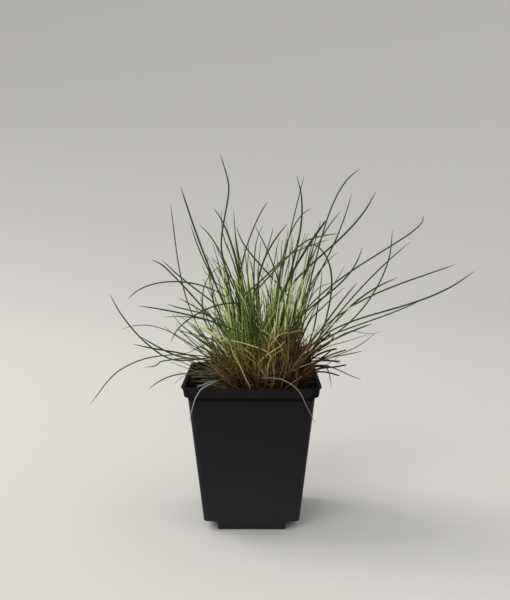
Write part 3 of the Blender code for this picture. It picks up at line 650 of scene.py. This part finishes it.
# Thin leaves. More of the leaves that stand out of the tussock one by one, thinner and paler than the long
# ones. They grow out of the same sheaths.
THIN_LEAVES = [
    [(2, -6, 88), (-7.2, -8, 150.3), (-9.6, -6.8, 167), (-13.9, -5.6, 180), (-17.2, -4.4, 187.1),
     (-19.7, -3.2, 195.5), (-20.2, -2, 209.4)],
    [(3, -2, 88), (-6, 0, 149.4), (-8.4, 1.2, 168.3), (-11.7, 2.4, 181.9), (-14.8, 3.6, 190.9),
     (-17, 4.8, 197.9), (-17.6, 6, 202.6)],
    [(4, -8, 88), (-5.8, -12, 150.8), (-7.4, -12.5, 164.1), (-9, -13, 180.7), (-10.3, -13.5, 188.6),
     (-11.2, -14, 202.3)],
    [(6, 2, 88), (1.4, 4, 145.5), (1.4, 4.8, 162.6), (1.7, 5.6, 177.6), (3.2, 6.4, 189.4), (5.1, 7.2, 195.2),
     (7.2, 8, 198.9)],
    [(6, -4, 88), (3.5, -6, 146.7), (1.8, -6.7, 160.3), (-0.2, -7.3, 172.4), (-2.6, -8, 181.7)],
    [(3, 3, 88), (-4.1, 4, 145.5), (-10.9, 5.5, 160.4), (-15.1, 7, 165.1), (-21.3, 8.5, 171.2),
     (-27.9, 10, 177.7)],
    [(2, -9, 88), (-7.8, -12, 140.7), (-12.7, -13.5, 151.3), (-16.9, -15, 160.8), (-19.4, -16.5, 167.4),
     (-21.7, -18, 173)],
    [(3, -5, 88), (-6.6, -6, 142), (-11.5, -6.4, 157.1), (-14.3, -6.8, 163.3), (-18.2, -7.2, 174.3),
     (-22.2, -7.6, 182.5), (-24.1, -8, 187.7)],
    [(-3, -3, 88), (-27, -4, 126), (-32.4, -3, 137.5), (-33.6, -2, 147.6), (-32.6, -1, 157.5),
     (-30.7, 0, 162.7), (-27.7, 1, 167), (-22.7, 2, 172)],
    [(1, 1, 88), (-9.5, 2, 143.7), (-18.6, 3.5, 156.2), (-25.2, 5, 161.2), (-30.8, 6.5, 166.2),
     (-34.3, 8, 172)],
    [(14, 0, 88), (23.2, 0, 142.6), (25.8, 0.5, 157.5), (27.7, 1, 171.1), (27.4, 1.5, 181.2),
     (26.4, 2, 194.3)],
    [(11, -7, 88), (16.9, -8, 143.6), (18.3, -8.5, 160.4), (19.3, -9, 174.7), (19.5, -9.5, 181.7),
     (20.2, -10, 190.1)],
    [(10, 4, 88), (15.8, 6, 138.3), (18.9, 7, 158.9), (21.2, 8, 174.7), (22.7, 9, 185.6), (23.2, 10, 191.2)],
    [(13, -9, 88), (20.8, -12, 140.8), (24.7, -12.8, 156.2), (28.2, -13.6, 172.2), (30.7, -14.4, 180.1),
     (34, -15.2, 188.5), (37.1, -16, 195.3)],
    [(15, 3, 88), (27.5, 4, 135.1), (32.9, 4.8, 152.3), (36.9, 5.6, 169.4), (38.6, 6.4, 177.5),
     (40.3, 7.2, 185), (42.9, 8, 194.1)],
    [(15, -6, 88), (25.7, -6, 136.6), (31, -6, 155.5), (36.2, -6, 170.3), (40.1, -6, 182.9),
     (42.7, -6, 191.6), (45.6, -6, 202.8)],
    [(2, -11, 88), (-7.7, -16, 151.2), (-1.1, -16.4, 157.9), (4.8, -16.9, 162.9), (10.7, -17.3, 168.5),
     (18.5, -17.8, 176.4), (26.3, -18.2, 182.2), (32.1, -18.7, 184.7), (37.9, -19.1, 186.9),
     (43.7, -19.6, 189.1), (49.1, -20, 190.9)],
    [(20, 1, 88), (41.1, 2, 125.1), (45.1, 2.5, 145.7), (46.4, 3, 155.2), (47.2, 3.5, 162),
     (47.6, 4, 168.5)],
    [(18, -4, 88), (32.5, -6, 129.8), (41, -7.2, 144.8), (48.9, -8.4, 153.1), (54, -9.6, 160.6),
     (59, -10.8, 168.8), (60.9, -12, 173.1)],
    [(19, 5, 88), (34.5, 6, 127.9), (38.5, 7.2, 145.1), (41.7, 8.4, 152.3), (45.8, 9.6, 156.6),
     (49.7, 10.8, 158.6), (54.2, 12, 159.7)],
    [(20, -8, 88), (35.6, -10, 130.4), (40.8, -11.2, 140), (46.3, -12.4, 145.2), (51.8, -13.6, 151),
     (56.2, -14.8, 155.1), (60.3, -16, 159.3)],
    [(17, -1, 88), (31.3, -2, 134.6), (35.9, -1.3, 151.6), (40.6, -0.7, 161.1), (45.3, 0, 168.8),
     (50.1, 0.7, 174.2), (53.8, 1.3, 178.6), (57.8, 2, 181.5)],
    [(17, -10, 88), (29.5, -12, 134), (34.4, -12.8, 151.2), (36.5, -13.6, 161.6), (39, -14.4, 168.6),
     (41.5, -15.2, 174.7), (43.2, -16, 178.4)],
    [(15, 6, 88), (28.3, 8, 131.1), (31.7, 8.7, 152.6), (34.4, 9.3, 162.2), (36.5, 10, 169.5)],
    [(-4, -6, 88), (-20, -10, 120.2), (-30.8, -11, 125.7), (-36.6, -12, 126.9), (-42.7, -13, 130.8),
     (-46.6, -14, 133.9), (-49.6, -15, 137.8), (-52, -16, 141.9)],
    [(-4, -9, 88), (-19.8, -14, 113.4), (-30.6, -15, 117.9), (-36.3, -16, 120.8), (-40.8, -17, 124.7),
     (-44.1, -18, 128.9), (-47.1, -19, 132), (-49.6, -20, 135.8)],
    [(-4, -1, 88), (-20.5, 0, 111.5), (-30.7, 0.8, 117.9), (-35, 1.6, 121), (-38.7, 2.4, 123.6),
     (-42.5, 3.2, 126.3), (-47, 4, 130.9)],
    [(-3, -5, 88), (-26.1, -8, 121.2), (-26, -8.5, 132.8), (-23.3, -9, 139.1), (-21.4, -9.5, 143.8),
     (-20.2, -10, 147.8)],
    [(-2, -7, 88), (-16.8, -20, 127.2), (-26.1, -19.2, 123.8), (-30.8, -18.4, 122.1), (-35.5, -17.6, 119.7),
     (-40.9, -16.8, 116.4), (-45.6, -16, 115.5)],
]
routes("thin_leaves", thin_finish, THIN_LEAVES, girth=0.52, taper=0.3, tip=0.3, seed=75)
THINNEST_LEAVES = [
    [(22, -6, 88), (44.4, -10, 116.8), (55.6, -10.9, 124.4), (62.2, -11.7, 128.6), (67.1, -12.6, 130.1),
     (72.8, -13.4, 129.3), (78.9, -14.3, 128.4), (82, -15.1, 129), (84.8, -16, 130.3)],
    [(22, -2, 88), (42.8, -4, 113), (54.6, -4.4, 119.3), (58.2, -4.8, 120.3), (66.3, -5.2, 122.7),
     (74.3, -5.6, 125.5), (79.6, -6, 126.6)],
]
routes("thinnest_leaves", thin_finish, THINNEST_LEAVES, girth=0.34, taper=0.35, tip=0.3, seed=79)

# Young blue leaves. The newest leaves at the heart of the clump, with the most wax. They stand up close
# together in front of the older ones.
YOUNG = [(0.040, 0.070, 0.016), (0.085, 0.135, 0.036), (0.125, 0.190, 0.056), (0.330, 0.430, 0.190)]
young_finish = leaf_finish("young_leaf", YOUNG, SHEATHS[2:], (25.0, 38.0), 0.5, shaded_upper=SHADED)
fan("young_blue_leaves", young_finish, 54, seed=57, feet=((-6, 10), (-19, -8)),
    tips=((-14, 8), (-31, -14), (126, 158)), girths=(0.30, 0.44), dome=4.0, cross=0.5)

# Lime leaves. Leaves that are turning from green to straw, thin enough for the light to come through. Their
# pale lime is partly that turning colour and partly painted light, the glow of light shining through them,
# palest in the back and right tufts. They grow all through the tussock, and show as pale streaks between the
# green ones.
GLOWING_LIMES = [(0.430, 0.545, 0.120), (0.745, 0.845, 0.370), (0.915, 0.965, 0.655)]
PALE_GLOWING_LIMES = [(0.690, 0.805, 0.350), (0.870, 0.950, 0.590), (0.940, 0.985, 0.780)]
lime_finish = leaf_finish("lime_leaf", GLOWING_LIMES, SHEATHS[2:], (26.0, 40.0), 0.5)
pale_finish = leaf_finish("pale_lime_leaf", PALE_GLOWING_LIMES, SHEATHS[1:], (42.0, 58.0), 0.5)
streak_finish = leaf_finish("lime_streak", GLOWING_LIMES, SHEATHS[1:], (40.0, 52.0), 0.5)
fan("lime_leaves", lime_finish, 76, seed=53, feet=((-6, 20), (-14, 10)),
    tips=((-22, 26), (-24, 20), (124, 160)), girths=(0.30, 0.46), cross=0.5)
fan("left_lime_leaves", lime_finish, 24, seed=59, feet=((-6, 8), (-14, 6)),
    tips=((-28, -2), (-30, 6), (132, 176)), girths=(0.34, 0.50))
fan("back_lime_leaves", pale_finish, 48, seed=65, feet=((-4, 20), (4, 14)),
    tips=((-34, 44), (12, 34), (134, 184)), girths=(0.28, 0.42))
fan("right_lime_leaves", pale_finish, 34, seed=63, feet=((8, 22), (-8, 8)),
    tips=((14, 38), (-18, 14), (144, 178)), girths=(0.34, 0.48))
fan("near_left_lime_leaves", streak_finish, 10, seed=67, feet=((-7, 5), (-20, -12)),
    tips=((-26, -5), (-28, -18), (138, 166)), girths=(0.26, 0.36), cross=0.4)
fan("near_right_lime_leaves", streak_finish, 7, seed=68, feet=((10, 20), (-17, -9)),
    tips=((10, 32), (-26, -14), (142, 170)), girths=(0.26, 0.36), cross=0.4)
LIME_ROUTES = [
    [(4, -22, 96), (-3, -28, 119.4), (-8.6, -28, 121), (-16.3, -27, 124.8), (-24, -26, 129), (-32, -25, 134),
     (-40, -24, 139.5)],
    [(2, -22, 96), (-6, -27, 118.4), (-12, -27, 121), (-20, -26, 126), (-27.6, -25, 132), (-35, -24, 135.6)],
    [(2, -14, 88), (-8, -15, 114), (-17, -16, 124), (-24.6, -16, 130.5), (-34, -16, 136), (-42, -16, 139)],
    [(4, -12, 88), (-13, -13, 117), (-22, -13, 129), (-30, -13, 137), (-37, -13, 143)],
    [(2, -16, 88), (-10, -18, 114), (-21, -18, 125), (-31, -18, 131), (-39.5, -18, 136)],
    [(5, -10, 88), (-16, -10, 121), (-25, -10, 133), (-32, -10, 141)],
    [(22, -10, 88), (33, -14, 121), (47, -14, 135), (59.5, -14, 143), (69, -14, 148)],
    [(20, -7, 88), (32, -8, 113), (42, -8, 125), (54.5, -8, 134), (65, -8, 139)],
]
routes("lime_front_leaves", streak_finish, LIME_ROUTES, girth=0.38, taper=0.2, tip=0.4, seed=77)
SHORT_LIMES = [
    [(13, -18, 88), (11.5, -22, 114), (10, -22, 125), (6, -22, 131.5), (3.4, -22, 135.5)],
    [(11, -17, 88), (10.5, -22, 118), (13, -22, 129), (15.7, -22, 137.5)],
]
routes("short_lime_leaves", lime_finish, SHORT_LIMES, girth=0.42, taper=0.2, tip=0.4, seed=78)

# Low blades. Thin olive leaves that grow from the left side of the tussock. They lie low and run out over
# the inside of the rim.
LOW_BLADES = 56
LOW_HEADINGS = (150, 222)
LOW_FEET = (13, 21)
LOW_REACH = (36, 53)
LOW_TIPS = (91, 105)
LOW_STEPS = 14
draw = np.random.default_rng(83)
turn = draw.uniform(*LOW_HEADINGS, LOW_BLADES)
flat = heading_of(turn, np.zeros(LOW_BLADES))[:, :2]
starts = np.column_stack([CENTRE + flat * draw.uniform(*LOW_FEET, LOW_BLADES)[:, None],
                          np.full(LOW_BLADES, FOOT_HEIGHT)])
tips = np.column_stack([CENTRE + flat * draw.uniform(*LOW_REACH, LOW_BLADES)[:, None],
                        draw.uniform(*LOW_TIPS, LOW_BLADES)])
leave = heading_of(turn + draw.normal(0, 8, LOW_BLADES), draw.uniform(20, 50, LOW_BLADES))
arrive = heading_of(turn + draw.normal(0, 12, LOW_BLADES), draw.uniform(-22, 8, LOW_BLADES))
lines = clear_of_pot(arcs(starts, leave, arrive, tips, HOLD, LOW_STEPS))
low_finish = leaf_finish("low_leaf", [(0.030, 0.032, 0.014), (0.105, 0.106, 0.058), (0.300, 0.290, 0.190)],
                         SHEATHS[1:], (6.0, 18.0), 0.55)
blades("low_leaves", lines, blade_radii(draw.uniform(0.28, 0.42, LOW_BLADES), LOW_STEPS), low_finish,
       draw.random(LOW_BLADES), draw.random(LOW_BLADES))
STRAY_BLADES = [
    [(-8, -4, 88), (-24.6, -12, 102.2), (-34.7, -12.4, 102.6), (-41.4, -12.8, 101.3), (-44.8, -13.2, 99.9),
     (-48.8, -13.6, 97.7), (-52, -14, 94.1)],
    [(-8, -1, 88), (-27.1, -4, 99.8), (-36.7, -4, 98.4), (-42.1, -4, 98.7), (-47.6, -4, 99.8),
     (-51.1, -4, 101.6)],
]
routes("stray_low_leaves", low_finish, STRAY_BLADES, girth=0.34, taper=0.35, tip=0.3, seed=81)

# Long leaves. The needles that stand out of the tussock one by one, dark blue-green against the light, stiff
# at the root and arching to a fine point. Each follows its own piece of the frame and goes down to the soil.
LEAF_RADIUS = 0.56
LEAF_STEPS = 44
LONG_SHEATH = [(0.070, 0.044, 0.014), (0.190, 0.140, 0.046)]
LONG_GREENS = [(0.036, 0.060, 0.006), (0.066, 0.105, 0.014), (0.120, 0.175, 0.034)]
FRESH_GREENS = [(0.080, 0.120, 0.020), (0.150, 0.200, 0.050)]
OLD_GREENS = [(0.060, 0.052, 0.028), (0.100, 0.088, 0.050)]
# Painted shade: the top part of the long and fresh leaves turns to a darker colour, as where they stand
# against the light.
long_finish = leaf_finish("long_leaf", LONG_GREENS, LONG_SHEATH, (46.0, 62.0), 0.45,
                          shaded_upper=(68.0, 98.0, (0.031, 0.045, 0.027)))
fresh_finish = leaf_finish("fresh_long_leaf", FRESH_GREENS, LONG_SHEATH, (46.0, 62.0), 0.45,
                           shaded_upper=(68.0, 98.0, (0.080, 0.100, 0.040)))
old_finish = leaf_finish("old_long_leaf", OLD_GREENS, SHEATHS[:2], (30.0, 50.0), 0.55, tips=0.4)
FINISHES = {"leaf_36": fresh_finish, "leaf_50": fresh_finish, "leaf_39": old_finish, "leaf_46": old_finish}

# How thick a leaf is beside the usual one, where it differs
GIRTHS = {"leaf_01": 1.3, "leaf_02": 0.88, "leaf_03": 0.82, "leaf_04": 1.1, "leaf_06": 0.85, "leaf_08": 0.82,
          "leaf_09": 1.1, "leaf_10": 0.67, "leaf_12": 0.65, "leaf_13": 0.93, "leaf_14": 1.2, "leaf_16": 1.05,
          "leaf_17": 0.79, "leaf_18": 0.93, "leaf_20": 1.05, "leaf_22": 0.7, "leaf_23": 0.9, "leaf_24": 1.15,
          "leaf_25": 0.55, "leaf_26": 0.82, "leaf_27": 0.95, "leaf_28": 0.6, "leaf_29": 0.85, "leaf_30": 1.15,
          "leaf_31": 0.93, "leaf_33": 0.5, "leaf_34": 0.75, "leaf_35": 1.1, "leaf_36": 0.85, "leaf_37": 1.3,
          "leaf_39": 0.58, "leaf_40": 1.08, "leaf_41": 0.6, "leaf_44": 0.88, "leaf_45": 0.75, "leaf_46": 0.72,
          "leaf_47": 1.1, "leaf_48": 1.15, "leaf_49": 0.85, "leaf_51": 1.2, "leaf_52": 0.82, "leaf_53": 1.15}

# How it swells from its foot and narrows to its point: the distances from that end and its width there
SWELL_AT = (0.0, 25.0, 50.0, 85.0)
SWELL_WIDTHS = (0.4, 0.75, 1.0, 1.08)
POINT_AT = np.array([0.0, 3.0, 10.0, 20.0, 34.0, 52.0])
POINT_WIDTHS = (0.20, 0.44, 0.78, 0.93, 1.02, 1.04)
FULL_POINT_FROM = 120.0

# How near to the middle of the tussock all their feet are
FEET_WITHIN = 11.0


def centre_line(node):
    """The middle of each ring of a rod in the frame, from its thick end to its thin end."""
    rod = bmesh.new()
    rod.from_mesh(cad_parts[node].data)
    bmesh.ops.remove_doubles(rod, verts=rod.verts, dist=1e-6)

    def rings_from(first):
        rings, seen = [list(first)], set(first)
        while True:
            beyond = {edge.other_vert(v) for v in rings[-1] for edge in v.link_edges} - seen
            if not beyond:
                return rings
            rings.append(list(beyond))
            seen |= beyond

    rod.verts.ensure_lookup_table()
    one_end = rings_from([rod.verts[0]])[-1]
    rings = rings_from(one_end)
    rings = rings_from(rings[-1])
    middles = [np.mean([v.co[:] for v in ring], axis=0) for ring in rings]
    widths = [max((v.co - Vector(middle)).length for v in ring) for ring, middle in zip(rings, middles)]
    rod.free()
    middles = np.array(middles) / MM
    middles = middles if widths[0] > widths[-1] else middles[::-1]
    # A tip that turns by more than about 40 degrees would fold the blade, so it is straightened
    hooked = (unit(middles[-1] - middles[-2]) * unit(middles[-2] - middles[-3])).sum() < 0.75
    return np.delete(middles, -2, axis=0) if hooked else middles


def rooted(line):
    """Carries a leaf on from the tussock's surface down to its foot in the soil."""
    leave = unit(line[0] - line[1])
    flat = line[0, :2] - CENTRE
    far = np.linalg.norm(flat)
    foot = np.array([*(CENTRE + flat * min(FEET_WITHIN, 0.4 * far) / max(far, 1.0)), FOOT_HEIGHT])
    up = unit(np.array([*(0.35 * (line[0, :2] - foot[:2])), line[0, 2] - foot[2]]))
    below = arcs(foot[None], up[None], -leave[None], line[:1], 0.40, 5)[0]
    return np.concatenate([below[:-1], line])


chance = np.random.default_rng(61)
for node in sorted(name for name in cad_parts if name.startswith("leaf_")):
    line = smooth_line(rooted(centre_line(node)), LEAF_STEPS)
    girth = LEAF_RADIUS * chance.uniform(0.86, 1.1) * GIRTHS.get(node, 1.0)
    length = np.linalg.norm(np.diff(line, axis=0), axis=1).sum()
    along = np.linspace(0.0, length, LEAF_STEPS)
    swell = np.interp(along, SWELL_AT, SWELL_WIDTHS)
    point = np.interp(length - along, POINT_AT * min(1.0, length / FULL_POINT_FROM), POINT_WIDTHS)
    finish = FINISHES.get(node, long_finish)
    leaf = blades(node + "_blade", line[None], (girth * swell * point)[None], finish,
                  chance.random(1), chance.random(1))
    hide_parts(node)

# Dead leaves. Two old needles, bleached to straw and curled, which lie over the front of the rim. A short
# split of the left one stands clear of it just inside the rim.
DEAD_RADIUS = 0.42
DEAD_SHEATH = [(0.085, 0.080, 0.034), (0.140, 0.130, 0.060)]
DEAD_LEAVES = (
    ("dead_leaf_01", [(0.38, 0.37, 0.34), (0.58, 0.57, 0.54)], (54.0, 64.0)),
    ("dead_leaf_02", [(0.23, 0.21, 0.175), (0.34, 0.32, 0.28)], (28.0, 40.0)),
)
for node, bleached, sheath_end in DEAD_LEAVES:
    dead_finish = leaf_finish(node, bleached, DEAD_SHEATH, sheath_end, 0.6)
    line = smooth_line(rooted(centre_line(node)), LEAF_STEPS)
    leaf = blades(node + "_blade", line[None], blade_radii(np.array([DEAD_RADIUS]), LEAF_STEPS, 0.4),
                  dead_finish, chance.random(1), chance.random(1))
    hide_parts(node)

SPLIT_LEAF = [(-8, -14, 88), (-15, -25, 98.6), (-25.3, -35, 101.0), (-30.2, -40, 99.9), (-34.4, -43.4, 98.9)]
split_finish = leaf_finish("split_dead_leaf", [(0.40, 0.39, 0.36), (0.62, 0.61, 0.58)], DEAD_SHEATH,
                           (29.0, 36.0), 0.6)
routes("split_dead_leaf", split_finish, [SPLIT_LEAF], girth=0.26, taper=0.1, tip=0.5, seed=82)

# Studio. A pale floor that sweeps up all round, two broad soft lights on the left, one behind and one in
# front, and a camera a little above the clump that looks down at it. Sizes here are in metres.
SWEEP_START = 1.0
SWEEP_END = 3.6
SWEEP_RISE = 1.5
FLOOR_COLOUR = (0.66, 0.65, 0.62, 1.0)
floor_shape = bmesh.new()
profile = [(0.0, 0.0)]
for share in np.linspace(0.0, 1.0, 18):
    profile.append((SWEEP_START + (SWEEP_END - SWEEP_START) * share, SWEEP_RISE * share ** 2.2))
spine = [floor_shape.verts.new((x, 0, z)) for x, z in profile]
edges = [floor_shape.edges.new(pair) for pair in zip(spine, spine[1:])]
bmesh.ops.spin(floor_shape, geom=spine + edges, cent=(0, 0, 0), axis=(0, 0, 1), angle=2 * math.pi, steps=96,
               use_duplicate=False)
bmesh.ops.remove_doubles(floor_shape, verts=floor_shape.verts, dist=1e-5)
bmesh.ops.recalc_face_normals(floor_shape, faces=floor_shape.faces)
floor_mesh = bpy.data.meshes.new("floor")
floor_shape.to_mesh(floor_mesh)
floor_shape.free()
floor_mesh.polygons.foreach_set("use_smooth", [True] * len(floor_mesh.polygons))
floor = bpy.data.objects.new("floor", floor_mesh)
bpy.context.scene.collection.objects.link(floor)
floor_finish = Finish("pale_floor", Base_Color=FLOOR_COLOUR, Roughness=0.8, Specular_IOR_Level=0.2)
floor_mesh.materials.append(floor_finish.material)


def soft_light(name, place, aim, size, power, colour):
    """A round lamp that shines towards the aim."""
    lamp = bpy.data.lights.new(name, "AREA")
    lamp.shape = "DISK"
    lamp.size = size
    lamp.energy = power
    lamp.color = colour
    thing = bpy.data.objects.new(name, lamp)
    thing.location = place
    thing.rotation_euler = (Vector(aim) - Vector(place)).to_track_quat("-Z", "Y").to_euler()
    bpy.context.scene.collection.objects.link(thing)


POT_TOP = (0.0, 0.0, 0.1)
soft_light("window", (-1.3, 0.4, 1.5), POT_TOP, size=1.2, power=17.0, colour=(1.0, 0.985, 0.95))
soft_light("room", (-0.8, -1.4, 1.1), POT_TOP, size=1.3, power=12.0, colour=(1.0, 0.985, 0.96))

SKY_COLOUR = (0.95, 0.94, 0.94, 1.0)
SKY_STRENGTH = 0.695
world = bpy.data.worlds.new("studio")
world.use_nodes = True
world.node_tree.nodes["Background"].inputs["Color"].default_value = SKY_COLOUR
world.node_tree.nodes["Background"].inputs["Strength"].default_value = SKY_STRENGTH
bpy.context.scene.world = world
bpy.context.scene.view_settings.view_transform = "Standard"

CAMERA_PLACE = (0.0049, -0.5325, 0.211)
LOOKS_DOWN = 6.6
ROLL = 0.3
lens = bpy.data.cameras.new("camera")
lens.lens = 47.4
lens.sensor_width = 36.0
lens.clip_start = 0.05
camera = bpy.data.objects.new("camera", lens)
camera.location = CAMERA_PLACE
camera.rotation_euler = (math.radians(90 - LOOKS_DOWN), 0.0, math.radians(ROLL))
bpy.context.scene.collection.objects.link(camera)
bpy.context.scene.camera = camera
